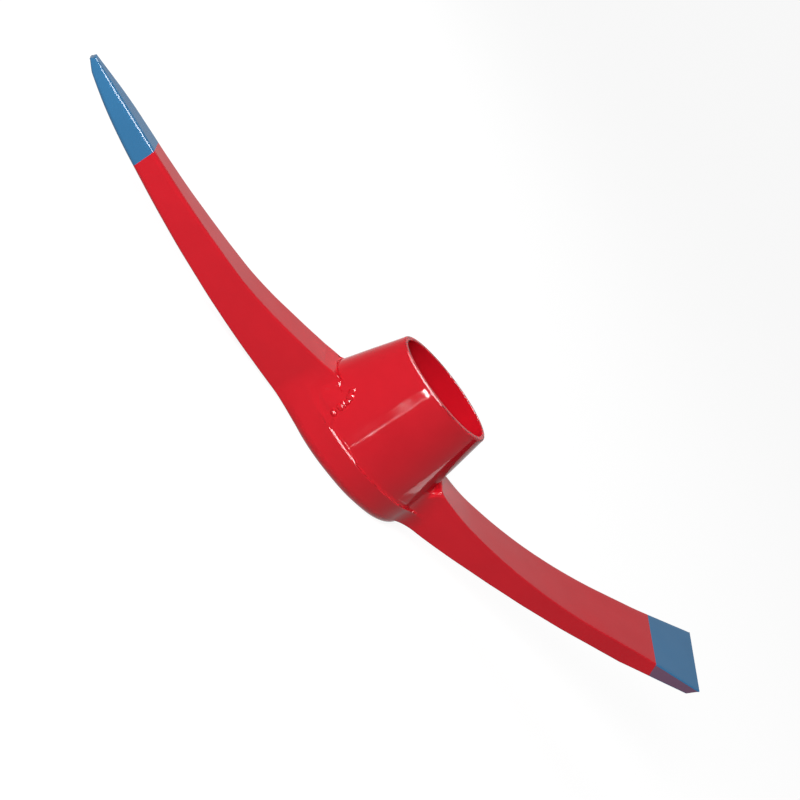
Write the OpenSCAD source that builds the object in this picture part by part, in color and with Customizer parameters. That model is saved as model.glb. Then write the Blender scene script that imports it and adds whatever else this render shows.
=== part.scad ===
// Pick axe head with a pick point on one side and a chisel bit on the other
// X runs from the pick point (minus) to the chisel edge (plus)
// Z runs up the eye from the crown to the mouth
// The origin is on the eye's axis, in the crown face

/* [Eye] */
// height of the eye from the crown face to the mouth
eye_height = 76; // [72:1:84]
// outside length of the mouth, along the head
mouth_length = 77; // [74:1:82]
// outside width of the mouth
mouth_width = 47; // [45:1:52]
// wall of the collar at the mouth
mouth_wall = 3; // [2.6:0.1:4]
// rounding of the rim at the mouth
rim_round = 1.1; // [0.6:0.1:1.2]
// length of the eye's hole at the crown
crown_hole_length = 83; // [78:1:87]
// width of the eye's hole at the crown
crown_hole_width = 50; // [46:1:53]
// height of the band round the collar's foot
band_height = 19; // [16:1:23]
// outside length of the band
band_length = 106; // [102:1:110]
// outside width of the band
band_width = 70; // [68:1:74]
// width of the ledge between the band and the collar's foot
ledge = 1.5; // [1:0.25:2.5]
// rounding of the crown's edge
crown_round = 7; // [5:0.5:8]

/* [Pick] */
// distance of the pick's tip from the eye's axis
pick_reach = 268; // [250:1:300]
// length of the painted point
point_length = 58; // [45:1:70]
// width of the pick arm at its shoulder
pick_root_width = 24.5; // [21:0.5:26]
// width of the pick arm at the paint line
pick_line_width = 17; // [14:0.5:19]
// width of the blunt tip
pick_tip_width = 8; // [5:0.5:10]
// thickness of the pick arm at its shoulder
pick_root_thickness = 27; // [24:0.5:29]
// thickness of the pick arm at the paint line
pick_line_thickness = 14.5; // [12:0.5:16]
// thickness of the blunt tip
pick_tip_thickness = 4; // [3:0.5:6]
// height that the tip gains from the point's own curve
point_lift = 2; // [0:0.2:4]
// height that the pick arm's inner face gains from its haunch beside the collar
haunch_height = 6.5; // [4:0.5:8]
// height of the convex face above the crown at the pick's shoulder
pick_heel = 1.8; // [1.4:0.1:3]
// angle of the convex face at the pick's shoulder
pick_start_angle = 3.6; // [3:0.1:4]
// radius of the pick arm's bow
pick_bow_radius = 890; // [800:10:1300]

/* [Chisel] */
// distance of the cutting edge from the eye's axis
chisel_reach = 243.5; // [230:0.5:270]
// length of the painted bit
bit_length = 30; // [24:1:40]
// width of the chisel arm at its shoulder
chisel_root_width = 26.5; // [23:0.5:29]
// width of the chisel arm where its flare begins
chisel_neck_width = 45.5; // [40:0.5:50]
// width of the cutting edge
chisel_edge_width = 58.5; // [54:0.5:66]
// thickness of the chisel arm at its shoulder
chisel_root_thickness = 27.5; // [25:0.5:29]
// thickness of the chisel arm where its flare begins
chisel_neck_thickness = 12.8; // [11:0.2:14]
// thickness of the bit at the top of its bevel
bevel_thickness = 6.8; // [5:0.1:8]
// length of the bevel, along the head
bevel_length = 3; // [2:0.5:6]
// thickness left at the cutting edge
edge_thickness = 0.8; // [0.5:0.1:1.2]
// height of the chisel arm's inner face beside the collar
chisel_inner_height = 36.5; // [33:0.5:40]
// radius of the chisel arm's bow
chisel_bow_radius = 350; // [320:5:420]

/* [Edges and welds] */
// rounding of the arms' long edges
edge_round = 1.5; // [1:0.1:2.5]
// radius of the weld beads
bead_radius = 1.8; // [1.4:0.1:2.2]

/* [Hidden] */

red = [0.78, 0.05, 0.08];
blue = [0.2, 0.45, 0.66];

// Counts of points, rows and stations that the skins are drawn with
oval_points = 96;
corner_steps = 3;
lower_rows = 6;
upper_rows = 3;
face_rows = 8;
cap_steps = 8;
rim_steps = 3;
crown_steps = 4;
bead_sides = 12;
near_stations = 8;
far_stations = 16;
point_stations = 16;
bit_stations = 10;
bead_rows = 6;
bend_steps = 3;

// Halvings that find where an arm comes out of the eye's skin
halvings = 24;

// How far the cutting solid reaches past the crown
cut_margin = 1;

// Gap between an arm's root and the eye that it is welded to
seat_gap = 0.15;

// The collar's foot and the hole at the mouth
collar_foot_half_length = band_length / 2 - ledge;
collar_foot_half_width = band_width / 2 - ledge;
hole_mouth_length = mouth_length - 2 * mouth_wall;
hole_mouth_width = mouth_width - 2 * mouth_wall;
ledge_top = band_height + seat_gap;

// Distances from the eye's axis at which the arms change
root_station = 24;
shoulder = 62;
haunch_end = 125;
haunch_full = 35;
point_start = pick_reach - point_length;
nose_length = 1.5;
nose_share = 0.6;
bow_start = 50;
bow_end = 180;
flare_start = 202;
bit_start = chisel_reach - bit_length;
bevel_start = chisel_reach - bevel_length;
rise_end = 80;

// Height that the chisel arm's inner face gains inside the eye
chisel_root_rise = 6;

// Powers of the blends along the arms and of the rows' spacing up their sides
thinning_power = 2.35;
flare_power = 1.5;
point_power = 3.2;
spread_power = 1.5;
row_power = 1.6;

// Shares of the eye's length at which an arm's sides leave the eye, and the depth they sink below its skin
low_touch_share = 0.62;
high_touch_share = 0.86;
chisel_touch_share = 0.9;
crease_top = 41;
sink = 0.6;

// Run in which the row along the ledge moves to the middle of a side, and the height of the row above it
level_run = 40;
ledge_step = 0.5;

// Largest share of a section's size that its rounded corners take
corner_share = 0.3;

// Height of a bead's foot above the ledge, and the bend where it turns over an arm
bead_foot = 3;
bead_bend = 4;

// Blending helpers
function mix(from, to, share) = from + (to - from) * share;
function past(value, from, to) = max(0, (value - from) / (to - from));
function eased(share) = let (s = min(1, share)) s * s * (3 - 2 * s);

// Half length and half width of the collar's outside and of the eye's hole at height z
function collar_share(z) = (z - band_height) / (eye_height - band_height);
function collar_x(z) = mix(collar_foot_half_length, mouth_length / 2, collar_share(z));
function collar_y(z) = mix(collar_foot_half_width, mouth_width / 2, collar_share(z));
function hole_x(z) = mix(crown_hole_length, hole_mouth_length, z / eye_height) / 2;
function hole_y(z) = mix(crown_hole_width, hole_mouth_width, z / eye_height) / 2;

// Half width of the eye's outside at distance x from its axis and height z
function crown_drop(z) = max(0, crown_round - max(0, z));
function crown_inset(z) = crown_round - sqrt(pow(crown_round, 2) - pow(crown_drop(z), 2));
function eye_x(z) = z <= ledge_top ? band_length / 2 - crown_inset(z) : collar_x(z);
function eye_y(z) = z <= ledge_top ? band_width / 2 - crown_inset(z) : collar_y(z);
function eye_side(x, z) = eye_y(z) * sqrt(max(0, 1 - pow(x / eye_x(z), 2)));

// One level ring of an oval
function oval(half_x, half_y, z) =
    [for (i = [0:oval_points - 1])
        let (turn = 360 * i / oval_points)
        [half_x * cos(turn), half_y * sin(turn), z]];

// Solid skin through a list of rings, closed round on itself or capped at both ends
// Each cap runs in to a hub, which is the middle of its ring unless the first cap's hub is given
function middle_of(ring) = [for (point = ring) 1] * ring / len(ring);
module loft(rings, closed = false, hub = undef) {
    size = len(rings[0]);
    count = len(rings);
    spans = closed ? count : count - 1;
    top = (count - 1) * size;
    sides = [
        for (j = [0:spans - 1], i = [0:size - 1])
            let (next = (i + 1) % size, low = j * size, high = ((j + 1) % count) * size)
                each [[low + i, high + i, high + next], [low + i, high + next, low + next]]
    ];
    caps = [
        for (i = [0:size - 1])
            let (next = (i + 1) % size)
                each [[i, next, count * size], [top + next, top + i, count * size + 1]]
    ];
    hubs = [is_undef(hub) ? middle_of(rings[0]) : hub, middle_of(rings[count - 1])];
    points = [for (ring = rings) each ring];
    polyhedron(closed ? points : concat(points, hubs), closed ? sides : concat(caps, sides));
}

// Rings round the crown's rounded edge, from the crown face up to the band's side
function crown_rings() = [for (i = [0:crown_steps])
    let (turn = 90 * i / crown_steps, inset = crown_round * (1 - sin(turn)))
    oval(band_length / 2 - inset, band_width / 2 - inset, crown_round * (1 - cos(turn)))];

// The eye's outside as one solid, which cuts the beads to fit
module eye_outside() {
    loft(concat(
        [oval(band_length / 2 - crown_round, band_width / 2 - crown_round, -cut_margin)],
        crown_rings(),
        [
            oval(band_length / 2, band_width / 2, band_height),
            oval(collar_foot_half_length, collar_foot_half_width, band_height),
            oval(mouth_length / 2, mouth_width / 2, eye_height)
        ]
    ));
}

// Tapered socket tube with a rounded rim
module eye_collar() {
    rim_centre = eye_height - rim_round;
    outer_rim = [for (i = [0:rim_steps]) let (turn = 90 * i / rim_steps) oval(
        collar_x(rim_centre) - rim_round * (1 - cos(turn)),
        collar_y(rim_centre) - rim_round * (1 - cos(turn)),
        rim_centre + rim_round * sin(turn))];
    inner_rim = [for (i = [rim_steps:-1:0]) let (turn = 90 * i / rim_steps) oval(
        hole_x(rim_centre) + rim_round * (1 - cos(turn)),
        hole_y(rim_centre) + rim_round * (1 - cos(turn)),
        rim_centre + rim_round * sin(turn))];
    foot_outside = oval(collar_foot_half_length, collar_foot_half_width, band_height);
    foot_inside = oval(hole_x(band_height), hole_y(band_height), band_height);
    color(red)
        loft(concat([foot_outside], outer_rim, inner_rim, [foot_inside]), closed = true);
}

// Ring under the collar, with the crown face below and the ledge above
module eye_band() {
    color(red)
        loft(concat(crown_rings(), [
            oval(band_length / 2, band_width / 2, band_height),
            oval(hole_x(band_height), hole_y(band_height), band_height),
            oval(hole_x(0), hole_y(0), 0)
        ]), closed = true);
}

// Half width of an arm at height z, whose sides spread to touch the eye's outside beside it
function touch_share(z, is_pick) =
    is_pick
        ? mix(low_touch_share, high_touch_share, pow(min(1, past(z, band_height, crease_top)), 2))
        : chisel_touch_share;
function touch(z, is_pick) = eye_x(z) * touch_share(z, is_pick);
function spread(x, z, half, is_pick) =
    let (meeting = touch(z, is_pick))
    x < meeting
        ? eye_side(x, z) - sink
        : mix(half, eye_side(meeting, z) - sink, pow(past(x, shoulder, meeting), spread_power));

// Heights of the rows on an arm's sides, one of which runs along the ledge as far as the shoulder
function side_levels(x, low, high) =
    let (
        leaving = min(1, past(x, shoulder, shoulder + level_run)),
        ledge_row = mix(ledge_top, (low + high) / 2, leaving),
        above = ledge_row + ledge_step
    )
    concat(
        [for (row = [1:lower_rows - 1]) mix(low, ledge_row, pow(row / lower_rows, row_power))],
        [ledge_row, above],
        [for (row = [1:upper_rows - 1]) mix(above, high, row / upper_rows)]
    );

// Rounded rectangular section of an arm at distance x from the eye's axis
// A full section has points along its sides and faces too, and a plain one has only its corners
function corner_radius(half, low, high) = min(edge_round, corner_share * min(half, high - low));
function corner_points(corner, x, low, high, half, round, is_pick) =
    [for (step = [0:corner_steps])
        let (
            turn = 90 * corner + 90 * step / corner_steps,
            z = (corner < 2 ? high - round : low + round) + round * sin(turn),
            y = spread(x, z, half, is_pick) - round * (1 - abs(cos(turn)))
        )
        [x, corner == 0 || corner == 3 ? y : -y, z]];
function face_points(x, z, half, round, is_pick, full) =
    let (reach = spread(x, z, half, is_pick) - round)
    [for (row = [1:1:full ? face_rows - 1 : 0]) [x, reach * (1 - 2 * row / face_rows), z]];
function backwards(list) = [for (i = [len(list) - 1:-1:0]) list[i]];
function section(x, low, high, half, is_pick, full) =
    let (
        round = corner_radius(half, low, high),
        levels = full ? side_levels(x, low + round, high - round) : []
    )
    concat(
        corner_points(0, x, low, high, half, round, is_pick),
        face_points(x, high, half, round, is_pick, full),
        corner_points(1, x, low, high, half, round, is_pick),
        [for (z = backwards(levels)) [x, -spread(x, z, half, is_pick), z]],
        corner_points(2, x, low, high, half, round, is_pick),
        backwards(face_points(x, low, half, round, is_pick, full)),
        corner_points(3, x, low, high, half, round, is_pick),
        [for (z = levels) [x, spread(x, z, half, is_pick), z]]
    );

// The pick arm's convex face, thickness and half width at distance x from the eye's axis
function pick_share(x) = (x - shoulder) / (point_start - shoulder);
function point_share(x) = pow(past(x, point_start, pick_reach), point_power);
function pick_low(x) =
    let (run = x - shoulder)
    pick_heel + run * tan(pick_start_angle) + run * run / (2 * pick_bow_radius)
    + point_lift * point_share(x);
function pick_thickness(x) =
    mix(mix(pick_root_thickness, pick_line_thickness, pick_share(x)), pick_tip_thickness, point_share(x))
    + haunch_height * eased(past(x, haunch_end, haunch_full));
function pick_half(x) =
    mix(mix(pick_root_width, pick_line_width, pick_share(x)), pick_tip_width, point_share(x)) / 2;
function pick_section(x, full) =
    section(x, pick_low(x), pick_low(x) + pick_thickness(x), pick_half(x), true, full);
function nose_section() =
    let (
        middle = pick_low(pick_reach) + pick_tip_thickness / 2,
        rise = nose_share * pick_tip_thickness / 2
    )
    section(pick_reach, middle - rise, middle + rise, nose_share * pick_tip_width / 2, true, false);

// Distance from the eye's axis at which line k of an arm's skin comes out of the eye, found by halving
function arm_section(is_pick, x) = is_pick ? pick_section(x, true) : chisel_section(x, true);
function seat_half_x(z) = eye_x(z) + seat_gap;
function seat_half_y(z) = eye_y(z) + seat_gap;
function is_outside(p) = pow(p[0] / seat_half_x(p[2]), 2) + pow(p[1] / seat_half_y(p[2]), 2) > 1;
function line_start(is_pick, k, near = root_station, far = shoulder, steps = halvings) =
    let (middle = (near + far) / 2)
    steps == 0 ? middle
    : is_outside(arm_section(is_pick, middle)[k])
        ? line_start(is_pick, k, near, middle, steps - 1)
        : line_start(is_pick, k, middle, far, steps - 1);

// Point of an arm's root face, which follows the eye's skin, at a share of the way from its hub to its rim
function seat_point(rim_point, share) =
    let (y = share * rim_point[1], z = mix(ledge_top, rim_point[2], share))
    [seat_half_x(z) * sqrt(1 - pow(y / seat_half_y(z), 2)), y, z];

// Rings of an arm from its root face to its paint line
function arm_rings(is_pick, end) =
    let (
        last = len(arm_section(is_pick, shoulder)) - 1,
        starts = [for (k = [0:last]) line_start(is_pick, k)],
        near_rings = [for (j = [0:near_stations - 1])
            [for (k = [0:last]) arm_section(is_pick, mix(starts[k], shoulder, j / near_stations))[k]]],
        root_rings = [for (j = [1:cap_steps - 1])
            [for (rim_point = near_rings[0]) seat_point(rim_point, j / cap_steps)]],
        far_rings = [for (j = [0:far_stations]) arm_section(is_pick, mix(shoulder, end, j / far_stations))]
    )
    concat(root_rings, near_rings, far_rings);
module arm(is_pick, end) {
    loft(arm_rings(is_pick, end), hub = seat_point([0, 0, ledge_top], 0));
}

// Root of an arm that runs on into the eye, which cuts the bead to fit
module arm_root(is_pick) {
    loft([for (j = [0:near_stations])
        arm_section(is_pick, mix(root_station, shoulder, j / near_stations))]);
}

// Long arm on the minus X side
module pick_arm() {
    color(red)
        mirror([1, 0, 0])
            arm(true, point_start);
}

// Painted end of the pick arm
module pick_point() {
    nose_start = pick_reach - nose_length;
    stations = [for (i = [0:point_stations]) mix(point_start, nose_start, i / point_stations)];
    color(blue)
        mirror([1, 0, 0])
            loft(concat([for (x = stations) pick_section(x, false)], [nose_section()]));
}

// The chisel arm's inner face, thickness and half width at distance x from the eye's axis
function bow_rise(run) = chisel_bow_radius - sqrt(pow(chisel_bow_radius, 2) - run * run);
function bow_slope(run) = run / sqrt(pow(chisel_bow_radius, 2) - run * run);
function chisel_high(x) =
    chisel_inner_height
    + bow_rise(min(max(x - bow_start, 0), bow_end - bow_start))
    + max(0, x - bow_end) * bow_slope(bow_end - bow_start)
    + chisel_root_rise * min(1, pow(past(x, rise_end, root_station), 2));
function chisel_thickness(x) =
    x < flare_start
        ? mix(
            chisel_neck_thickness, chisel_root_thickness,
            pow(past(x, flare_start, shoulder), thinning_power))
        : mix(
            chisel_neck_thickness, bevel_thickness,
            past(x, flare_start, bevel_start));
function chisel_half(x) =
    let (
        plain = mix(chisel_root_width, chisel_neck_width, (x - shoulder) / (flare_start - shoulder)),
        flare = pow(past(x, flare_start, chisel_reach), flare_power)
    )
    mix(plain, max(plain, chisel_edge_width), flare) / 2;
function chisel_section(x, full) =
    section(x, chisel_high(x) - chisel_thickness(x), chisel_high(x), chisel_half(x), false, full);
function edge_section() =
    let (high = chisel_high(chisel_reach))
    section(chisel_reach, high - edge_thickness, high, chisel_half(chisel_reach), false, false);

// Flat arm on the plus X side
module chisel_arm() {
    color(red)
        arm(false, bit_start);
}

// Painted end of the chisel arm, with its bevel on the convex side
module chisel_bit() {
    stations = [for (i = [0:bit_stations]) mix(bit_start, bevel_start, i / bit_stations)];
    color(blue)
        loft(concat([for (x = stations) chisel_section(x, false)], [edge_section()]));
}

// Round bead along a list of points on the collar
function unit(v) = v / norm(v);
function bead_ring(route, i) =
    let (
        along = unit(route[min(i + 1, len(route) - 1)] - route[max(i - 1, 0)]),
        aside = unit(cross(along, [route[i][0], route[i][1], 0])),
        outward = cross(aside, along)
    )
    [for (k = [0:bead_sides - 1])
        let (turn = 360 * k / bead_sides)
        route[i] + bead_radius * (cos(turn) * outward + sin(turn) * aside)];
module bead(route) {
    loft([for (i = [0:len(route) - 1]) bead_ring(route, i)]);
}

// Distance from the eye's axis at which an arm's side meets the collar at height z, found by halving
function arm_half(is_pick, x) = is_pick ? pick_half(x) : chisel_half(x);
function arm_high(is_pick, x) = is_pick ? pick_low(x) + pick_thickness(x) : chisel_high(x);
function side_meeting(
    is_pick, z, near = root_station, far = collar_foot_half_length, steps = halvings) =
    let (middle = (near + far) / 2)
    steps == 0 ? middle
    : spread(middle, z, arm_half(is_pick, middle), is_pick) < eye_side(middle, z)
        ? side_meeting(is_pick, z, middle, far, steps - 1)
        : side_meeting(is_pick, z, near, middle, steps - 1);
function side_spot(is_pick, z) = let (x = side_meeting(is_pick, z)) [x, eye_side(x, z), z];

// Height at which an arm's inner face meets the collar at distance y from the middle, found by repeating
function collar_at(y, z) = collar_x(z) * sqrt(max(0, 1 - pow(y / collar_y(z), 2)));
function top_meeting(is_pick, y, z, steps = 12) =
    steps == 0 ? z : top_meeting(is_pick, y, arm_high(is_pick, collar_at(y, z)), steps - 1);
function top_spot(is_pick, y, z) = let (high = top_meeting(is_pick, y, z)) [collar_at(y, high), y, high];

// Route of a bead along the crease: up one side of the arm, over its inner face and down the other side
function bead_route(is_pick) =
    let (
        middle = top_spot(is_pick, 0, chisel_inner_height),
        shoulder_spot = side_spot(is_pick, middle[2] - bead_bend),
        level_half = shoulder_spot[1] - bead_bend,
        level = top_spot(is_pick, level_half, middle[2])[2],
        foot = band_height + bead_foot,
        up = [for (i = [0:bead_rows]) side_spot(is_pick, mix(foot, shoulder_spot[2], i / bead_rows))],
        bend = [for (i = [1:bend_steps - 1])
            let (
                turn = 90 * i / bend_steps,
                y = level_half + bead_bend * cos(turn),
                z = mix(shoulder_spot[2], level, sin(turn))
            )
            [collar_at(y, z), y, z]],
        half_over = [for (i = [0:bead_rows - 1])
            top_spot(is_pick, level_half * (1 - i / bead_rows), middle[2])],
        half_route = concat(up, bend, half_over),
        last = len(half_route) - 1,
        back = [for (i = [last:-1:0]) [half_route[i][0], -half_route[i][1], half_route[i][2]]]
    )
    concat(half_route, [middle], back);

// Bead in the crease between the collar and the pick arm
module pick_weld() {
    color(red)
        difference() {
            mirror([1, 0, 0])
                bead(bead_route(true));
            eye_outside();
            mirror([1, 0, 0])
                arm_root(true);
        }
}

// Bead in the crease between the collar and the chisel arm
module chisel_weld() {
    color(red)
        difference() {
            bead(bead_route(false));
            eye_outside();
            arm_root(false);
        }
}

eye_collar();
eye_band();
pick_arm();
pick_point();
chisel_arm();
chisel_bit();
pick_weld();
chisel_weld();
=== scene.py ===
import math

import bmesh
import bpy
import numpy as np
from mathutils import Matrix, Vector, noise


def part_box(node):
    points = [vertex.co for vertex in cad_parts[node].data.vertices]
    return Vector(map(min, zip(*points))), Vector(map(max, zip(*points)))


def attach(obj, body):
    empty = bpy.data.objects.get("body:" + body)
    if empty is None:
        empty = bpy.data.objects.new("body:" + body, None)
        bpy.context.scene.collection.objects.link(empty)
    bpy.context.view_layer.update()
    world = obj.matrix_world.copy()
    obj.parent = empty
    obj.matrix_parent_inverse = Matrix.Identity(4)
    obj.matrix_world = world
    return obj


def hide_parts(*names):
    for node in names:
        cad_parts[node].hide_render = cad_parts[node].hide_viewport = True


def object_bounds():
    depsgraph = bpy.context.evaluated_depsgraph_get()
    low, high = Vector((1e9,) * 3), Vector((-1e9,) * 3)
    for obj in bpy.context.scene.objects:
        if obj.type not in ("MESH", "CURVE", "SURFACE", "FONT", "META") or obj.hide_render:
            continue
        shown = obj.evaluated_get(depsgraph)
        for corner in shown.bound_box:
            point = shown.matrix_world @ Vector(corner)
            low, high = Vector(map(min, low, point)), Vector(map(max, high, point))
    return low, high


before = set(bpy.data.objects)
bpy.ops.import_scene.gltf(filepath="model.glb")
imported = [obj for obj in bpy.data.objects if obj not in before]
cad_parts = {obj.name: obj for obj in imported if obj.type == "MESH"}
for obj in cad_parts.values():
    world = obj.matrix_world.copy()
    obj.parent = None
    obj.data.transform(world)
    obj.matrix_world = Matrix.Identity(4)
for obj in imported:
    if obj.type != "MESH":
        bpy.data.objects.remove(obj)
size_at_load = [list(corner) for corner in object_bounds()]


# Eye collar
# The tapered oval tube that a wooden handle is drawn tight in. It is forged steel, thick at its
# foot and thin at its mouth, and the whole head was dipped in red gloss enamel.
collar_low, collar_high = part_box("eye_collar")
foot_half = (collar_high.x, collar_high.y)
foot_height = collar_low.z
mouth_height = collar_high.z
mouth_half = (0.0385, 0.0235)
mouth_wall = 0.003
crown_hole_half = (0.0415, 0.025)
rim_round = 0.0014
hole_rim_round = 0.0005
foot_cove = 0.0008
oval_points = 240
wall_rows = 48
round_steps = 8
forge_depth = 0.00022
forge_wave = 0.016
sharp_angle = math.radians(40)
shortest_normal = 1e-12
paint_gloss = 0.13
least_roughness = 0.02
most_roughness = 0.08
cloud_scale = 45.0
cloud_detail = 3.0
cloud_roughness = 0.6
worn_start = 0.35
worn_full = 0.75
worn_share = 0.35
wave_scale = 170.0
wave_detail = 2.0
wave_strength = 0.05
wave_height = 0.0004
peel_scale = 380.0
peel_detail = 1.0
peel_height = 0.0001
wall_peel = 0.16
opaque = 1.0


def mix(start, end, share):
    """Value at a share of the way from start to end."""
    return start + (end - start) * share


def collar_half(axis, z):
    """Half size of the collar's outside along X (0) or Y (1) at height z."""
    share = (z - foot_height) / (mouth_height - foot_height)
    return mix(foot_half[axis], mouth_half[axis], share)


def hole_half(axis, z):
    """Half size of the eye's hole along X (0) or Y (1) at height z."""
    return mix(crown_hole_half[axis], mouth_half[axis] - mouth_wall, z / mouth_height)


def oval(half_x, half_y, z):
    """One level ring of an oval."""
    turns = np.linspace(0, 2 * math.pi, oval_points, endpoint=False)
    level = np.full(oval_points, z)
    return np.stack([half_x * np.cos(turns), half_y * np.sin(turns), level], axis=-1)


def rounded_edge(half, centre, radius, turns, inward=1):
    """Rings of an oval's rounded edge, which draws in, or spreads out where inward is -1.

    The turns are counted up from the level of the rounding's centre.
    """
    rings = []
    for turn in turns:
        inset = inward * radius * (1 - math.cos(turn))
        rings.append(oval(half[0] - inset, half[1] - inset, centre + radius * math.sin(turn)))
    return rings


def surface_normals(grid):
    """Outward normals of a grid of rings that together close round a volume."""
    along = np.gradient(grid, axis=0)
    across = np.roll(grid, -1, axis=1) - np.roll(grid, 1, axis=1)
    normals = np.cross(across, along)
    if np.sum(normals * (grid - grid.mean(axis=(0, 1)))) < 0:
        normals = -normals
    length = np.linalg.norm(normals, axis=-1, keepdims=True)
    return normals / np.maximum(length, shortest_normal)


def forged(grid, depth=forge_depth, wave=forge_wave):
    """The grid dented by smooth noise, as hammered steel is, and held inside the frame's box."""
    flat_points = grid.reshape(-1, 3)
    dents = np.array([0.5 + 0.5 * noise.noise(Vector(point) / wave) for point in flat_points])
    pushed = grid - surface_normals(grid) * depth * dents.reshape(grid.shape[0], grid.shape[1], 1)
    return np.clip(pushed, *size_at_load)


def skin_piece(name, grid, material, looped=False):
    """Closed mesh through a grid of rings, looped round on itself or capped at both ends."""
    rings, size = grid.shape[:2]
    index = np.arange(rings * size).reshape(rings, size)
    below = index if looped else index[:-1]
    above = np.roll(index, -1, axis=0) if looped else index[1:]
    quads = np.stack([below, np.roll(below, -1, 1), np.roll(above, -1, 1), above], axis=-1)
    faces = quads.reshape(-1, 4).tolist()
    if not looped:
        faces += [index[0].tolist(), index[-1].tolist()]
    mesh = bpy.data.meshes.new(name)
    mesh.from_pydata(grid.reshape(-1, 3).tolist(), [], faces)
    turned = bmesh.new()
    turned.from_mesh(mesh)
    bmesh.ops.recalc_face_normals(turned, faces=turned.faces)
    if turned.calc_volume(signed=True) < 0:
        bmesh.ops.reverse_faces(turned, faces=turned.faces)
    turned.to_mesh(mesh)
    turned.free()
    mesh.shade_smooth()
    mesh.set_sharp_from_angle(angle=sharp_angle)
    mesh.materials.append(material)
    piece = bpy.data.objects.new(name, mesh)
    bpy.context.scene.collection.objects.link(piece)
    return piece


def add_node(material, kind, **values):
    """New shader node with the given input values, named as on the node with _ for a space."""
    node = material.node_tree.nodes.new(kind)
    for name, value in values.items():
        node.inputs[name.replace("_", " ")].default_value = value
    return node


def enamel(name, colour, worn_colour, thin_colour):
    """Gloss dip paint: slightly uneven in colour and shine, with faint waves in its skin.

    Where a mesh has the attribute thin_coat the paint takes the thin colour, and where it has the
    attribute peel the paint dried rougher, like the skin of an orange.
    """
    material = bpy.data.materials.new(name)
    material.use_nodes = True
    link = material.node_tree.links.new
    surface = material.node_tree.nodes["Principled BSDF"]
    surface.inputs["Specular IOR Level"].default_value = paint_gloss
    place = add_node(material, "ShaderNodeTexCoord")
    clouds = add_node(material, "ShaderNodeTexNoise", Scale=cloud_scale, Detail=cloud_detail)
    clouds.inputs["Roughness"].default_value = cloud_roughness
    link(place.outputs["Object"], clouds.inputs["Vector"])
    worn = add_node(material, "ShaderNodeMapRange", From_Min=worn_start, From_Max=worn_full)
    worn.inputs["To Max"].default_value = worn_share
    link(clouds.outputs["Fac"], worn.inputs["Value"])
    blend = add_node(material, "ShaderNodeMix")
    blend.data_type = "RGBA"
    blend.inputs["A"].default_value = (*colour, opaque)
    blend.inputs["B"].default_value = (*worn_colour, opaque)
    link(worn.outputs["Result"], blend.inputs["Factor"])
    coat = add_node(material, "ShaderNodeAttribute")
    coat.attribute_name = "thin_coat"
    thinned = add_node(material, "ShaderNodeMix")
    thinned.data_type = "RGBA"
    thinned.inputs["B"].default_value = (*thin_colour, opaque)
    link(coat.outputs["Fac"], thinned.inputs["Factor"])
    link(blend.outputs["Result"], thinned.inputs["A"])
    link(thinned.outputs["Result"], surface.inputs["Base Color"])
    shine = add_node(material, "ShaderNodeMapRange", To_Min=least_roughness, To_Max=most_roughness)
    link(clouds.outputs["Fac"], shine.inputs["Value"])
    link(shine.outputs["Result"], surface.inputs["Roughness"])
    waves = add_node(material, "ShaderNodeTexNoise", Scale=wave_scale, Detail=wave_detail)
    link(place.outputs["Object"], waves.inputs["Vector"])
    wave_bump = add_node(material, "ShaderNodeBump", Strength=wave_strength, Distance=wave_height)
    link(waves.outputs["Fac"], wave_bump.inputs["Height"])
    dimples = add_node(material, "ShaderNodeTexNoise", Scale=peel_scale, Detail=peel_detail)
    link(place.outputs["Object"], dimples.inputs["Vector"])
    peel_place = add_node(material, "ShaderNodeAttribute")
    peel_place.attribute_name = "peel"
    peel_bump = add_node(material, "ShaderNodeBump", Distance=peel_height)
    link(peel_place.outputs["Fac"], peel_bump.inputs["Strength"])
    link(dimples.outputs["Fac"], peel_bump.inputs["Height"])
    link(wave_bump.outputs["Normal"], peel_bump.inputs["Normal"])
    link(peel_bump.outputs["Normal"], surface.inputs["Normal"])
    return material


red = (0.62, 0.0075, 0.018)
worn_red = (0.5, 0.006, 0.014)
red_paint = enamel("red_paint", red, worn_red, worn_red)

rim_turns = np.linspace(0, math.pi / 2, round_steps + 1)
rim_centre = mouth_height - rim_round
rim_half = (collar_half(0, rim_centre), collar_half(1, rim_centre))
hole_rim_centre = mouth_height - hole_rim_round
hole_rim_half = (hole_half(0, hole_rim_centre), hole_half(1, hole_rim_centre))
collar_rings = []
for z in np.linspace(foot_height, rim_centre, wall_rows, endpoint=False):
    cove = foot_cove * max(0, 1 - (z - foot_height) / foot_cove) ** 2
    collar_rings.append(oval(collar_half(0, z) + cove, collar_half(1, z) + cove, z))
collar_rings += rounded_edge(rim_half, rim_centre, rim_round, rim_turns)
collar_rings += rounded_edge(hole_rim_half, hole_rim_centre, hole_rim_round, rim_turns[::-1], inward=-1)
for z in np.linspace(foot_height, hole_rim_centre, wall_rows, endpoint=False)[::-1]:
    collar_rings.append(oval(hole_half(0, z), hole_half(1, z), z))
eye_collar = skin_piece("eye_collar_tube", forged(np.array(collar_rings)), red_paint, looped=True)
ring_peel = np.zeros(len(collar_rings), dtype=np.float32)
ring_peel[:wall_rows] = wall_peel
peel = eye_collar.data.attributes.new("peel", "FLOAT", "POINT")
peel.data.foreach_set("value", np.repeat(ring_peel, oval_points))
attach(eye_collar, "root")
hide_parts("eye_collar")


# Eye band
# The thick oval ring round the collar's foot, forged in one with the arms. Its upper edge leaves a
# narrow ledge round the collar, and its lower edge is rounded over to the flat crown face.
band_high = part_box("eye_band")[1]
band_half = (band_high.x, band_high.y)
crown_round = 0.007
crown_steps = 16
ledge_round = 0.0006
band_rows = 16


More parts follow.
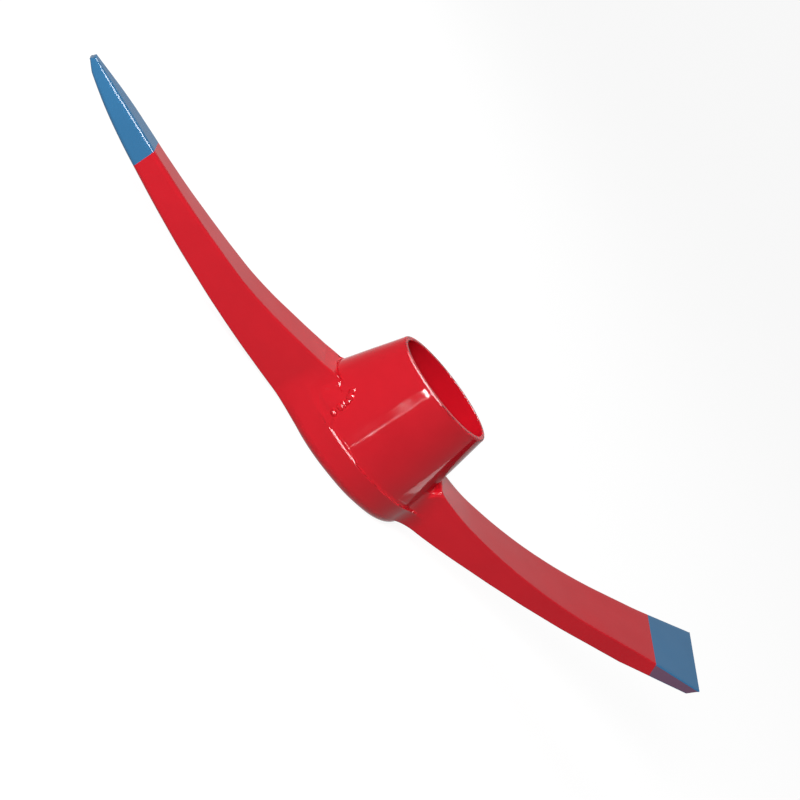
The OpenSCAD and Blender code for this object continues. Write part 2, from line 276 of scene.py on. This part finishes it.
def crown_inset(z):
    """How far the crown's rounded edge draws the band in at height z."""
    drop = np.clip(crown_round - z, 0, crown_round)
    return crown_round - np.sqrt(crown_round**2 - drop**2)


crown_turns = np.linspace(-math.pi / 2, 0, crown_steps, endpoint=False)
ledge_centre = foot_height - ledge_round
band_rings = rounded_edge(band_half, crown_round, crown_round, crown_turns)
for z in np.linspace(crown_round, ledge_centre, band_rows, endpoint=False):
    band_rings.append(oval(*band_half, z))
band_rings += rounded_edge(band_half, ledge_centre, ledge_round, rim_turns)
for z in np.linspace(0, foot_height, band_rows)[::-1]:
    band_rings.append(oval(hole_half(0, z), hole_half(1, z), z))
eye_band = skin_piece("eye_band_ring", forged(np.array(band_rings)), red_paint, looped=True)
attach(eye_band, "root")
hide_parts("eye_band")


# Pick arm
# The long arm drawn down under the hammer from a near square section. Its sides run flush out of
# the band, a crease parts it from the collar above the ledge, and it bows up towards the point.
point_low, point_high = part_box("pick_point")
pick_reach = -point_low.x
point_start = -point_high.x
shoulder = 0.062
root_station = 0.024
pick_widths = (0.0245, 0.017, 0.0045)
pick_thicknesses = (0.027, 0.0149, 0.005)
pick_heel = 0.0018
pick_slope = math.tan(math.radians(3.6))
pick_bow_radius = 0.89
point_lift = 0.002
point_power = 3.2
haunch_height = 0.0065
haunch_end = 0.125
haunch_full = 0.035
root_lift = 0.0014
root_lift_start = 0.057
root_lift_full = 0.0405
nose_curl = 0.0015
nose_curl_start = 0.262
edge_rounds = (0.0012, 0.0026)
corner_share = 0.45
pick_touch_share = 0.62
crease_top = 0.036
crease_heights = (foot_height, 0.0245, 0.033, 0.038, 0.0395)
crease_distances = (0.027, 0.0345, 0.0346, 0.0355, 0.04)
bend_start = 0.0345
bend_end = 0.046
bend_speed = 3.4
bend_share = 0.45
bend_rest = 0.65
blend_runs = (0.018, 0.009)
root_bury = 0.0012
root_dive = 60
halvings = 30
cap_steps = 10
near_stations = 40
far_stations = 150
side_rows = 26
face_rows = 18
pick_line_slant = 0.095


def past(value, start, end):
    """Share of the way from start to end that value has gone, never below 0."""
    return np.maximum(0, (value - start) / (end - start))


def eased(share):
    """Share with a soft start and a soft end, held between 0 and 1."""
    held = np.clip(share, 0, 1)
    return held**2 * (3 - 2 * held)


def eye_half(axis, z):
    """Half size of the eye's outside along X (0) or Y (1) at height z, band and collar together."""
    return np.where(z <= foot_height, band_half[axis] - crown_inset(z), collar_half(axis, z))


def eye_side(x, z):
    """Half width of the eye's outside at distance x from its axis and height z."""
    return eye_half(1, z) * np.sqrt(np.maximum(0, 1 - (x / eye_half(0, z)) ** 2))


def eye_slope(touch_share, z):
    """Slope of the eye's outside where an arm touches it, at a share of its half length."""
    return -eye_half(1, z) / eye_half(0, z) * touch_share / math.sqrt(1 - touch_share**2)


def under_skin(x, z, crease):
    """Half width of an arm inside its crease, where it dives under the eye's skin."""
    return eye_side(x, z) - root_dive * (crease - x) ** 2


def curve_between(x, start_x, start, start_slope, end_x, end, end_slope):
    """Smooth curve from one point and slope to another, held at its ends."""
    run = end_x - start_x
    gone = np.clip((x - start_x) / run, 0, 1)
    left = 1 - gone
    from_start = left**2 * ((1 + 2 * gone) * start + gone * run * start_slope)
    to_end = gone**2 * ((3 - 2 * gone) * end - left * run * end_slope)
    return from_start + to_end


def section_lines():
    """Lines along an arm, in order round its rounded section.

    Each is (side, rise, low_inset, high_inset, low_lean, high_lean): which side it is on, how far up
    it is, and how many corner radii at the foot and at the top draw it in and move it up.
    """
    rows = np.linspace(0, 1, side_rows + 1)[1:-1]
    shares = np.linspace(1, -1, face_rows + 1)[1:-1]
    top_corner = [(1, 1, 0, 1 - math.cos(turn), 0, math.sin(turn) - 1) for turn in rim_turns]
    top_face = [(share, 1, 0, 1, 0, 0) for share in shares]
    low_corner = [(1, 0, 1 - math.cos(turn), 0, 1 - math.sin(turn), 0) for turn in rim_turns]
    low_face = [(share, 0, 1, 0, 0, 0) for share in shares]
    side = [(1, row, 0, 0, 1 - row, -row) for row in rows]

    def other_side(lines):
        """The same lines mirrored, in the opposite order."""
        return [(-line[0], *line[1:]) for line in lines[::-1]]

    lines = top_corner + top_face + other_side(top_corner) + other_side(side)
    lines += other_side(low_corner[::-1]) + low_face[::-1] + low_corner[::-1] + side
    return np.array(lines).T


line_side, line_rise, low_inset, high_inset, low_lean, high_lean = section_lines()
line_count = len(line_side)


def arm_points(x, low, high, radii, side_spread):
    """Points of a rounded section at distance x, one for every line along the arm.

    The radii are of the lower corners, then the width and the height of the upper corners.
    """
    low_round, high_width, high_height = radii
    z = mix(low, high, line_rise) + low_lean * low_round + high_lean * high_height
    y = line_side * (side_spread(x, z) - low_inset * low_round - high_inset * high_width)
    return np.stack(np.broadcast_arrays(x, y, z), axis=-1)


def point_share(x):
    """How far the drawing down to the point has gone at distance x."""
    return past(x, point_start, pick_reach) ** point_power


def pick_size(sizes, x):
    """Width or thickness of the pick at distance x, from those at shoulder, paint line and tip."""
    straight = mix(sizes[0], sizes[1], (x - shoulder) / (point_start - shoulder))
    return mix(straight, sizes[2], point_share(x))


def pick_outer_side(x, z):
    """Half width of the pick arm outside the crease: flush with the band, narrower above the ledge."""
    half = pick_widths[0] / 2
    slope = (pick_widths[1] - pick_widths[0]) / 2 / (point_start - shoulder)
    level = np.minimum(z, foot_height)
    touch = eye_half(0, level) * pick_touch_share
    skin_slope = eye_slope(pick_touch_share, level)
    flush = curve_between(x, touch, eye_side(touch, level), skin_slope, shoulder, half, slope)
    climb = past(z, foot_height, crease_top)
    bent_climb = bend_share * eased(bend_speed * climb) + bend_rest * climb
    weight = mix(bent_climb, climb, eased(past(x, bend_start, bend_end)))
    return np.where(x < shoulder, mix(flush, half, weight), pick_size(pick_widths, x) / 2)


def pick_side(x, z):
    """Half width of the pick arm, blended into the eye's skin at the crease and under it inside."""
    crease = np.where(
        z <= foot_height,
        eye_half(0, z) * pick_touch_share,
        np.interp(z, crease_heights, crease_distances),
    )
    misfit = eye_side(crease, z) - pick_outer_side(crease, z)
    blend_run = mix(*blend_runs, np.minimum(1, past(z, foot_height, crease_top)))
    outside = pick_outer_side(x, z) + misfit * (1 - eased((x - crease) / blend_run))
    return np.where(x < crease, under_skin(x, z, crease), outside)


def pick_points(x):
    """Points of the pick's section at distance x from the eye's axis, still on the plus X side."""
    run = x - shoulder
    low = pick_heel + run * pick_slope + run**2 / (2 * pick_bow_radius)
    low = low + point_lift * point_share(x)
    haunch = haunch_height * eased(past(x, haunch_end, haunch_full))
    lift = root_lift * np.minimum(1, past(x, root_lift_start, root_lift_full))
    high = low + pick_size(pick_thicknesses, x) + haunch + lift
    low = low + nose_curl * past(x, nose_curl_start, pick_reach)
    radius = mix(*edge_rounds, eased(past(x, haunch_end, point_start)))
    smaller_size = np.minimum(pick_size(pick_widths, x) / 2, high - low)
    radius = np.minimum(radius, corner_share * smaller_size)
    return arm_points(x, low, high, (radius, radius, radius), pick_side)


def line_starts(points, bury):
    """Distances at which an arm's lines come out of a skin buried so far below the eye's own."""
    near = np.full(line_count, root_station)
    far = np.full(line_count, shoulder)
    for _ in range(halvings):
        middle = (near + far) / 2
        x, y, z = points(middle).T
        outside = (x / (eye_half(0, z) - bury)) ** 2 + (y / (eye_half(1, z) - bury)) ** 2 > 1
        near = np.where(outside, near, middle)
        far = np.where(outside, middle, far)
    return far


def arm_grid(points, ends):
    """Rings of an arm from a root face just under the eye's skin to its paint line."""
    starts = line_starts(points, bury=root_bury)
    rim = points(starts)
    rings = []
    for share in np.linspace(0, 1, cap_steps, endpoint=False)[1:]:
        y = share * rim[:, 1]
        z = mix(foot_height, rim[:, 2], share)
        half_y = eye_half(1, z) - root_bury
        x = (eye_half(0, z) - root_bury) * np.sqrt(1 - (y / half_y) ** 2)
        rings.append(np.stack([x, y, z], axis=-1))
    for share in np.linspace(0, 1, near_stations, endpoint=False):
        rings.append(points(mix(starts, shoulder, share)))
    for share in np.linspace(0, 1, far_stations):
        rings.append(points(mix(shoulder, ends, share)))
    return np.array(rings)


to_minus_x = np.array([-1, 1, 1])
plain_line = pick_points(np.full(line_count, point_start))
pick_line = point_start - pick_line_slant * (plain_line[:, 1] + pick_widths[1] / 2)
pick_bar = forged(arm_grid(pick_points, pick_line) * to_minus_x)
pick_arm = skin_piece("pick_arm_bar", pick_bar, red_paint)
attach(pick_arm, "root")
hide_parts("pick_arm")


# Pick point
# The last stretch of the pick arm, drawn down to a small blunt end. After the red had dried it was
# dipped in blue gloss enamel as far as a slanting line across the arm.
point_stations = 70
nose_length = 0.0006
nose_share = 0.85
nose_slant = 0.0008
blue = (0.033, 0.168, 0.35)
worn_blue = (0.03, 0.14, 0.3)
blue_on_red = (0.17, 0.085, 0.15)

blue_paint = enamel("blue_paint", blue, worn_blue, blue_on_red)

nose_ends = pick_reach - nose_length - nose_slant * line_rise
point_rings = []
for share in np.linspace(0, 1, point_stations):
    point_rings.append(pick_points(mix(pick_line, nose_ends, share)))
nose_ring = point_rings[-1]
nose_middle = nose_ring.mean(axis=0)
for turn in rim_turns[1:]:
    shrunk = nose_middle + (nose_ring - nose_middle) * mix(nose_share, 1, math.cos(turn))
    shrunk[:, 0] = nose_ends + nose_length * math.sin(turn)
    point_rings.append(shrunk)
pick_point = skin_piece("pick_point_end", forged(np.array(point_rings) * to_minus_x), blue_paint)
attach(pick_point, "root")
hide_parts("pick_point")


# Chisel arm
# The other arm, flattened under the hammer: it grows wider and thinner from its root and bows up to
# the edge. Its inner face ends beside the collar in a rounded tongue, with a dark crease behind it.
bit_low, bit_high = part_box("chisel_bit")
chisel_reach = bit_high.x
bit_start = bit_low.x
chisel_widths = (0.0265, 0.0455, 0.0585)
chisel_thicknesses = (0.0275, 0.0128, 0.0068)
chisel_inner_height = 0.0365
chisel_bow_radius = 0.35
bow_start = 0.05
bow_end = 0.18
flare_start = 0.202
bevel_length = 0.003
edge_thickness = 0.0008
rise_end = 0.08
chisel_root_rise = 0.006
chisel_touch_share = 0.8
thinning_power = 2.35
flare_power = 1.5
chisel_edge_round = 0.0009
tongue_end = 0.0497
tongue_foot = 0.046
tongue_drop = 0.005
tongue_cut = 0.0028
tongue_cut_start = 0.058
tongue_cut_full = 0.0495
tongue_cut_power = 4
tongue_wall = 1.3
chisel_line_lean = 0.4
chisel_line_slant = 0.026


def tongue_fall(x):
    """How far the chisel's inner face has dropped at distance x, at the end of its tongue."""
    return tongue_drop * eased(past(x, tongue_end, tongue_foot))


def chisel_high(x):
    """Height of the chisel's inner face at distance x: bowed from the tongue on, then straight."""
    run = np.clip(x - bow_start, 0, bow_end - bow_start)
    depth = np.sqrt(chisel_bow_radius**2 - run**2)
    straight = np.maximum(0, x - bow_end) * run / depth
    root_rise = chisel_root_rise * np.minimum(1, past(x, rise_end, root_station) ** 2)
    return chisel_inner_height + chisel_bow_radius - depth + straight + root_rise - tongue_fall(x)


def chisel_thickness(x):
    """Thickness of the chisel arm at distance x, less where its inner face drops at the tongue."""
    root, neck, bevel = chisel_thicknesses
    thinning = mix(neck, root, past(x, flare_start, shoulder) ** thinning_power)
    bit = mix(neck, bevel, past(x, flare_start, chisel_reach - bevel_length))
    return np.where(x < flare_start, thinning, bit) - tongue_fall(x)


def chisel_half(x):
    """Half width of the chisel arm at distance x."""
    root, neck, edge = chisel_widths
    plain = mix(root, neck, (x - shoulder) / (flare_start - shoulder))
    flare = past(x, flare_start, chisel_reach) ** flare_power
    return mix(plain, np.maximum(plain, edge), flare) / 2


def chisel_side(x, z):
    """Half width of the chisel arm, spread in a hollow to the eye's skin and under it inside."""
    crease = eye_half(0, z) * chisel_touch_share
    half = chisel_widths[0] / 2
    slope = (chisel_widths[1] - chisel_widths[0]) / 2 / (flare_start - shoulder)
    skin_slope = eye_slope(chisel_touch_share, z)
    outside = curve_between(x, crease, eye_side(crease, z), skin_slope, shoulder, half, slope)
    outside = np.where(x < shoulder, outside, chisel_half(x))
    return np.where(x < crease, under_skin(x, z, crease), outside)


def chisel_points(x, thickness=None):
    """Points of the chisel's section at distance x, with the arm's own thickness if none is given."""
    if thickness is None:
        thickness = chisel_thickness(x)
    high = chisel_high(x)
    low = high - thickness
    smaller_size = np.minimum(chisel_half(x), high - low)
    radius = np.minimum(chisel_edge_round, corner_share * smaller_size)
    cut = tongue_cut * np.minimum(1, past(x, tongue_cut_start, tongue_cut_full)) ** tongue_cut_power
    radii = (radius, radius + cut, radius + tongue_wall * cut)
    return arm_points(x, low, high, radii, chisel_side)


plain_line = chisel_points(np.full(line_count, bit_start))
line_top = plain_line[:, 2].max()
chisel_line = bit_start + chisel_line_lean * (line_top - plain_line[:, 2])
chisel_line += chisel_line_slant * (chisel_half(bit_start) - plain_line[:, 1])
chisel_arm = skin_piece("chisel_arm_bar", forged(arm_grid(chisel_points, chisel_line)), red_paint)
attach(chisel_arm, "root")
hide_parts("chisel_arm")


# Chisel bit
# The flared end of the chisel arm, ground to one bevel on its convex side. It was dipped in the same
# blue enamel as the point, and on the sides the coat is thin enough for the red to show through.
bit_stations = 40
bevel_stations = 10
bevel_start = chisel_reach - bevel_length

bit_rings = []
for share in np.linspace(0, 1, bit_stations):
    bit_rings.append(chisel_points(mix(chisel_line, bevel_start, share)))
for share in np.linspace(0, 1, bevel_stations)[1:]:
    x = np.full(line_count, mix(bevel_start, chisel_reach, share))
    bit_rings.append(chisel_points(x, mix(chisel_thicknesses[2], edge_thickness, share)))
chisel_bit = skin_piece("chisel_bit_end", forged(np.array(bit_rings)), blue_paint)
on_side = (low_inset == 0) & (high_inset == 0)
thin_coat = chisel_bit.data.attributes.new("thin_coat", "FLOAT", "POINT")
thin_coat.data.foreach_set("value", np.tile(on_side.astype(np.float32), len(bit_rings)))
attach(chisel_bit, "root")
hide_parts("chisel_bit")


# Pick weld
# The narrow, lumpy run of weld metal in the crease between the collar and the pick arm, up one side,
# over the inner face and down the other side. It has round drops of spatter, under the same red paint.
weld_foot = 0.004
weld_sink = 0.00015
weld_depth = 0.0008
cove_steps = 12
pick_weld_reach = 0.0013
pick_weld_top_reach = 0.0006
lump_wave = 0.003
lump_share = 0.4
lump_depth = 0.0003
drop_count = 7
drop_low = 0.0245
drop_high = 0.0385
drop_sink = 0.0012
smallest_drop = 0.0016
largest_drop = 0.003
drop_seed = 4
ball_radius = 1
ball_divisions = 4


def weld_grid(points, reach):
    """Rings of a hollow-faced fillet along the crease between an arm and the collar."""
    starts = line_starts(points, bury=0)
    corner = points(starts)
    above_ledge = corner[:, 2] > foot_height + weld_foot
    picked = np.where((line_rise == 1) | (on_side & above_ledge))[0]
    up_first = picked >= line_count - side_rows
    order = np.concatenate([picked[up_first], picked[~up_first]])
    corner = corner[order]
    out_y = (line_side * (1 - high_inset))[order]
    out_z = np.sqrt(1 - np.minimum(1, out_y**2))
    reaches = reach(corner, out_z)
    y = corner[:, 1] + reaches * out_y
    z = corner[:, 2] + reaches * out_z
    share_y = np.minimum(1, np.abs(y) / collar_half(1, z))
    on_collar = np.stack([collar_half(0, z) * np.sqrt(1 - share_y**2) - weld_sink, y, z], axis=-1)
    on_arm = points(starts + np.max(reaches))[order]
    on_arm = mix(corner, on_arm, (reaches / np.max(reaches))[:, None])
    inward = np.array([0, 0, foot_height]) - corner
    under = corner + weld_depth * inward / np.linalg.norm(inward, axis=-1, keepdims=True)
    rows = []
    for share in np.linspace(0, 1, cove_steps):
        bend = 2 * share * (1 - share) * corner
        rows.append((1 - share) ** 2 * on_collar + bend + share**2 * on_arm)
    return np.stack(rows + [under], axis=1)


def lumpy_reach(corner, out_z):
    """Reach of the pick weld, which swells and narrows along the crease."""
    lumps = np.array([noise.noise(Vector(point) / lump_wave) for point in corner])
    return mix(pick_weld_reach, pick_weld_top_reach, out_z) * (1 + lump_share * lumps)


pick_bead = forged(weld_grid(pick_points, lumpy_reach) * to_minus_x, lump_depth, lump_wave)
pick_weld = skin_piece("pick_weld_bead", pick_bead, red_paint)
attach(pick_weld, "root")
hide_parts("pick_weld")

drop_heights = np.linspace(drop_low, drop_high, drop_count)
drop_distances = np.interp(drop_heights, crease_heights, crease_distances)
drop_sides = eye_side(drop_distances, drop_heights) - drop_sink
drop_places = []
for way in (-1, 1):
    drop_places += np.stack([-drop_distances, way * drop_sides, drop_heights], axis=-1).tolist()
drop_mesh = bpy.data.meshes.new("pick_weld_drops")
drop_mesh.from_pydata(drop_places, [], [])
weld_drops = bpy.data.objects.new("pick_weld_drops", drop_mesh)
bpy.context.scene.collection.objects.link(weld_drops)

spatter = bpy.data.node_groups.new("spatter", "GeometryNodeTree")
spatter.interface.new_socket("Geometry", in_out="INPUT", socket_type="NodeSocketGeometry")
drop_settings = {}
for setting, kind, value in (
    ("Smallest", "NodeSocketFloat", smallest_drop),
    ("Largest", "NodeSocketFloat", largest_drop),
    ("Seed", "NodeSocketInt", drop_seed),
):
    socket = spatter.interface.new_socket(setting, in_out="INPUT", socket_type=kind)
    drop_settings[socket.identifier] = value
spatter.interface.new_socket("Geometry", in_out="OUTPUT", socket_type="NodeSocketGeometry")
spatter_link = spatter.links.new
spatter_input = spatter.nodes.new("NodeGroupInput")
spatter_output = spatter.nodes.new("NodeGroupOutput")
drop_ball = spatter.nodes.new("GeometryNodeMeshIcoSphere")
drop_ball.inputs["Radius"].default_value = ball_radius
drop_ball.inputs["Subdivisions"].default_value = ball_divisions
drop_size = spatter.nodes.new("FunctionNodeRandomValue")
drop_size.data_type = "FLOAT_VECTOR"
spatter_link(spatter_input.outputs["Smallest"], drop_size.inputs["Min"])
spatter_link(spatter_input.outputs["Largest"], drop_size.inputs["Max"])
spatter_link(spatter_input.outputs["Seed"], drop_size.inputs["Seed"])
drops = spatter.nodes.new("GeometryNodeInstanceOnPoints")
spatter_link(spatter_input.outputs["Geometry"], drops.inputs["Points"])
spatter_link(drop_ball.outputs["Mesh"], drops.inputs["Instance"])
spatter_link(drop_size.outputs["Value"], drops.inputs["Scale"])
real_drops = spatter.nodes.new("GeometryNodeRealizeInstances")
spatter_link(drops.outputs["Instances"], real_drops.inputs["Geometry"])
painted_drops = spatter.nodes.new("GeometryNodeSetMaterial")
painted_drops.inputs["Material"].default_value = red_paint
spatter_link(real_drops.outputs["Geometry"], painted_drops.inputs["Geometry"])
spatter_link(painted_drops.outputs["Geometry"], spatter_output.inputs["Geometry"])
drop_modifier = weld_drops.modifiers.new("spatter", "NODES")
drop_modifier.node_group = spatter
for identifier, value in drop_settings.items():
    drop_modifier[identifier] = value
evaluated_drops = weld_drops.evaluated_get(bpy.context.evaluated_depsgraph_get())
plain_drops = bpy.data.meshes.new_from_object(evaluated_drops)
weld_drops.modifiers.remove(drop_modifier)
weld_drops.data = plain_drops
plain_drops.shade_smooth()
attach(weld_drops, "root")
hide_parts("pick_weld")


# Chisel weld
# The smoother fillet between the collar and the chisel arm's inner face and sides.
# It was ground smooth before painting, so it shows as a soft hollow.
chisel_weld_reach = 0.001


def even_reach(corner, out_z):
    """Reach of the chisel weld, the same all along."""
    return np.full(len(corner), chisel_weld_reach)


chisel_weld = skin_piece("chisel_weld_bead", weld_grid(chisel_points, even_reach), red_paint)
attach(chisel_weld, "root")
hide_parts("chisel_weld")


# Floor
# A plain white sheet under the head. The camera and the mirroring paint see it lit up to white, apart
# from the head's own soft shadow, and it sends only a little of the lamps' light back to the head.
floor_half = 15.0
floor_glow = 0.93
floor_shade = (0.16, 0.16, 0.16, 1)
floor_grey = (0.35, 0.35, 0.35, 1)


def background_rays(nodes, link):
    """Socket that is 1 for rays that show the background, to the camera, mirrored or through glass."""
    rays = nodes.new("ShaderNodeLightPath")
    bounced = nodes.new("ShaderNodeMath")
    bounced.operation = "MAXIMUM"
    link(rays.outputs["Is Glossy Ray"], bounced.inputs[0])
    link(rays.outputs["Is Transmission Ray"], bounced.inputs[1])
    shown = nodes.new("ShaderNodeMath")
    shown.operation = "MAXIMUM"
    link(rays.outputs["Is Camera Ray"], shown.inputs[0])
    link(bounced.outputs["Value"], shown.inputs[1])
    return shown.outputs["Value"]


floor_mesh = bpy.data.meshes.new("floor")
floor_corners = [(-floor_half, -floor_half, 0), (floor_half, -floor_half, 0)]
floor_corners += [(floor_half, floor_half, 0), (-floor_half, floor_half, 0)]
floor_mesh.from_pydata(floor_corners, [], [(0, 1, 2, 3)])
floor = bpy.data.objects.new("floor", floor_mesh)
bpy.context.scene.collection.objects.link(floor)
floor_paper = bpy.data.materials.new("floor_paper")
floor_paper.use_nodes = True
floor_nodes = floor_paper.node_tree.nodes
floor_nodes.clear()
floor_link = floor_paper.node_tree.links.new
floor_output = floor_nodes.new("ShaderNodeOutputMaterial")
matt = add_node(floor_paper, "ShaderNodeBsdfDiffuse", Color=floor_grey)
seen_matt = add_node(floor_paper, "ShaderNodeBsdfDiffuse", Color=floor_shade)
glow = add_node(floor_paper, "ShaderNodeEmission", Strength=floor_glow)
seen = floor_nodes.new("ShaderNodeAddShader")
floor_link(seen_matt.outputs["BSDF"], seen.inputs[0])
floor_link(glow.outputs["Emission"], seen.inputs[1])
choice = floor_nodes.new("ShaderNodeMixShader")
floor_link(background_rays(floor_nodes, floor_link), choice.inputs["Fac"])
floor_link(matt.outputs["BSDF"], choice.inputs[1])
floor_link(seen.outputs["Shader"], choice.inputs[2])
floor_link(choice.outputs["Shader"], floor_output.inputs["Surface"])
floor_mesh.materials.append(floor_paper)


# Light
# A white surround that the camera and the paint see but that lights little, a soft key at the left
# front and a wide fill at the left back. The other lamps only show as highlights on chosen pieces.
surround_colour = (1, 1, 1, 1)
surround_light = 0.02
surround_white = 1.0
head_middle = (0, 0, 0.03)

world = bpy.data.worlds.new("studio")
bpy.context.scene.world = world
world.use_nodes = True
surround_nodes = world.node_tree.nodes
surround_link = world.node_tree.links.new
surround = surround_nodes["Background"]
surround.inputs["Color"].default_value = surround_colour
surround_strength = surround_nodes.new("ShaderNodeMix")
surround_strength.inputs["A"].default_value = surround_light
surround_strength.inputs["B"].default_value = surround_white
surround_link(background_rays(surround_nodes, surround_link), surround_strength.inputs["Factor"])
surround_link(surround_strength.outputs["Result"], surround.inputs["Strength"])


def lamp(name, place, aim, size, watts):
    """Rectangular area lamp at a place, turned to face the aim."""
    light = bpy.data.lights.new(name, "AREA")
    light.shape = "RECTANGLE"
    light.size, light.size_y = size
    light.energy = watts
    lamp_object = bpy.data.objects.new(name, light)
    bpy.context.scene.collection.objects.link(lamp_object)
    lamp_object.location = place
    lamp_object.rotation_euler = (Vector(aim) - Vector(place)).to_track_quat("-Z", "Y").to_euler()
    return lamp_object


key_lamp = lamp(
    "key_lamp",
    place=(-0.55, -0.72, 0.5),
    aim=head_middle,
    size=(0.45, 0.45),
    watts=10.8,
)
key_lamp.visible_glossy = False
fill_lamp = lamp(
    "fill_lamp",
    place=(-0.35, 0.7, 0.6),
    aim=head_middle,
    size=(0.7, 0.7),
    watts=4.2,
)
fill_lamp.visible_glossy = False


def highlight(name, place, aim, size, watts, pieces):
    """Lamp that is only seen mirrored in the paint of some of the pieces."""
    lamp_object = lamp(name, place, aim, size, watts)
    lamp_object.visible_diffuse = False
    lamp_object.visible_camera = False
    linked = bpy.data.collections.new(name)
    for piece in pieces:
        linked.objects.link(piece)
    lamp_object.light_linking.receiver_collection = linked


eye_pieces = (eye_collar, eye_band, pick_weld, weld_drops)
highlight(
    "rim_glow",
    place=(-0.07, -1.6, 0.165),
    aim=head_middle,
    size=(0.3, 0.07),
    watts=11,
    pieces=eye_pieces,
)
highlight(
    "thin_strip",
    place=(0.03, -1.6, 0.075),
    aim=head_middle,
    size=(0.012, 0.16),
    watts=0.25,
    pieces=eye_pieces,
)
highlight(
    "over_box",
    place=(-0.15, -0.25, 0.8),
    aim=(-0.15, -0.25, 0),
    size=(0.9, 0.9),
    watts=150,
    pieces=eye_pieces,
)
highlight(
    "point_strip",
    place=(-0.02, -0.34, 0.75),
    aim=(-0.02, -0.34, 0),
    size=(0.36, 0.54),
    watts=30,
    pieces=[pick_point],
)
highlight(
    "floor_card",
    place=(0.36, -0.01, 0.004),
    aim=(0.36, -0.01, 1),
    size=(0.28, 0.12),
    watts=0.4,
    pieces=[eye_collar],
)


# Camera
# A long lens above and to the left of the head, rolled so that the head lies along the picture's
# diagonal as in the photo.
camera_place = (-0.5152, -1.0598, 0.4339)
camera_azimuth = math.radians(-25.54)
camera_elevation = math.radians(18.07)
camera_roll = math.radians(58.25)
camera_lens = 99
camera_sight = 100

back = Vector(
    (
        math.sin(camera_azimuth) * math.cos(camera_elevation),
        -math.cos(camera_azimuth) * math.cos(camera_elevation),
        math.sin(camera_elevation),
    )
)
level_right = Vector((math.cos(camera_azimuth), math.sin(camera_azimuth), 0))
level_up = back.cross(level_right)
right = math.cos(camera_roll) * level_right + math.sin(camera_roll) * level_up
up = back.cross(right)
camera = bpy.data.objects.new("camera", bpy.data.cameras.new("camera"))
bpy.context.scene.collection.objects.link(camera)
camera_turn = Matrix((right, up, back)).transposed().to_4x4()
camera.matrix_world = Matrix.Translation(camera_place) @ camera_turn
camera.data.lens = camera_lens
camera.data.clip_end = camera_sight
bpy.context.scene.camera = camera
bpy.context.scene.view_settings.view_transform = "Standard"
